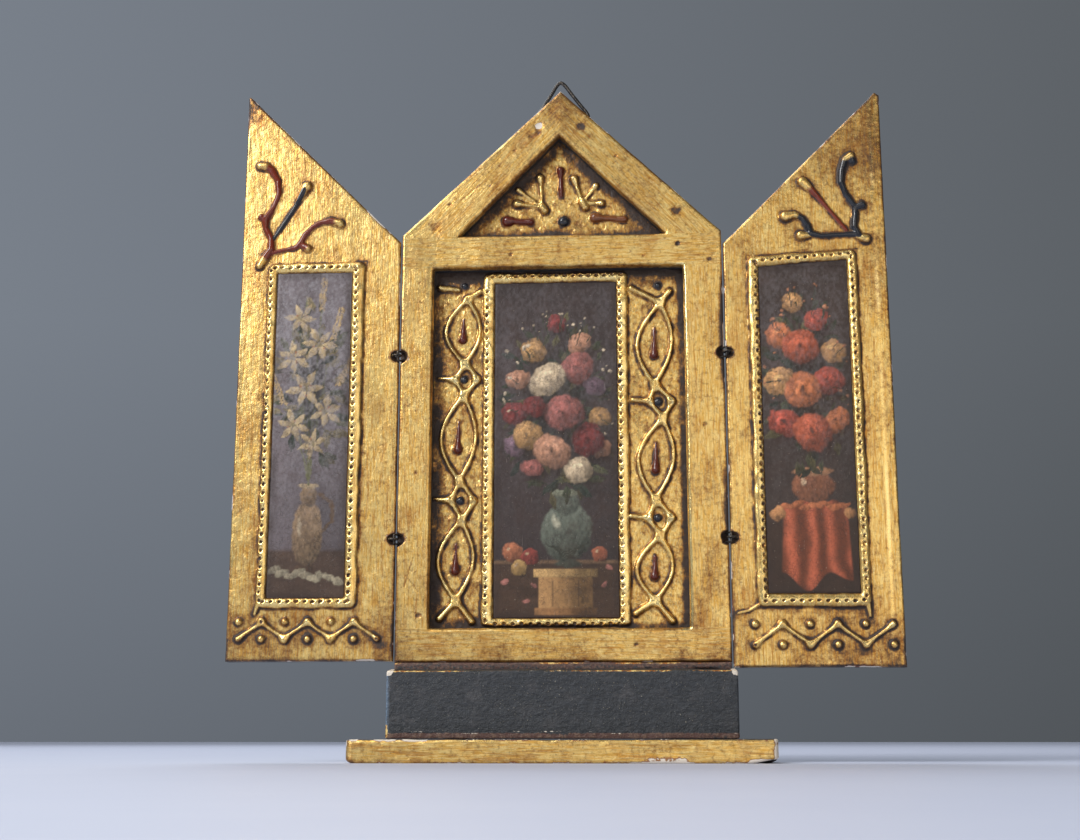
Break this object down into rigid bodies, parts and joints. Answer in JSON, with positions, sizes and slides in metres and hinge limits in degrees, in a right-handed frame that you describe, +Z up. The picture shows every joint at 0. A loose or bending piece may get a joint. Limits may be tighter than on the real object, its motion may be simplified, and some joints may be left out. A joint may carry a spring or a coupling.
{
  "type": "triptych altarpiece",
  "caption": "Small gilded folding devotional triptych with a gabled centre on a dark plinth and half-gabled wings on wire hinges, gesso relief and pictures.",
  "frame": {"origin": "middle of the foot board's underside", "axes": "+Z up, -Y to the front where the pictures face, +X to the viewer's right; the wings are stored wide open"},
  "size_m": [0.2826, 0.0416, 0.3067],
  "materials": {
    "gilding": "gold leaf on gesso, rubbed and toned brown, satin",
    "recess_gilding": "gold leaf on gesso relief, heavily toned brown in the hollows, satin",
    "dark_paint": "blue-black distemper on wood, nearly matte, worn at the edges",
    "print": "printed paper glued down and varnished, crackled",
    "iron_wire": "blackened iron wire"
  },
  "bodies": {
    "centre": {"foot_board": "gilding", "plinth_block": "dark_paint", "back_board": "recess_gilding", "gable_frame": "gilding", "centre_picture": "print", "hanger_ring": "iron_wire", "hanger_staple": "iron_wire", "left_lower_staple": "iron_wire", "left_upper_staple": "iron_wire", "right_lower_staple": "iron_wire", "right_upper_staple": "iron_wire"},
    "left_wing": {"left_wing": "gilding", "left_picture": "print", "left_lower_ring": "iron_wire", "left_upper_ring": "iron_wire"},
    "right_wing": {"right_wing": "gilding", "right_picture": "print", "right_lower_ring": "iron_wire", "right_upper_ring": "iron_wire"}
  },
  "joints": [
    {"name": "left_hinge", "type": "hinge", "parent": "centre", "child": "left_wing", "pos_m": [-0.0709, 0.0007, 0.132], "axis": [0, 0, 1], "range_deg": [-8, 180]},
    {"name": "right_hinge", "type": "hinge", "parent": "centre", "child": "right_wing", "pos_m": [0.0709, 0.0007, 0.132], "axis": [0, 0, -1], "range_deg": [-8, 180]}
  ]
}
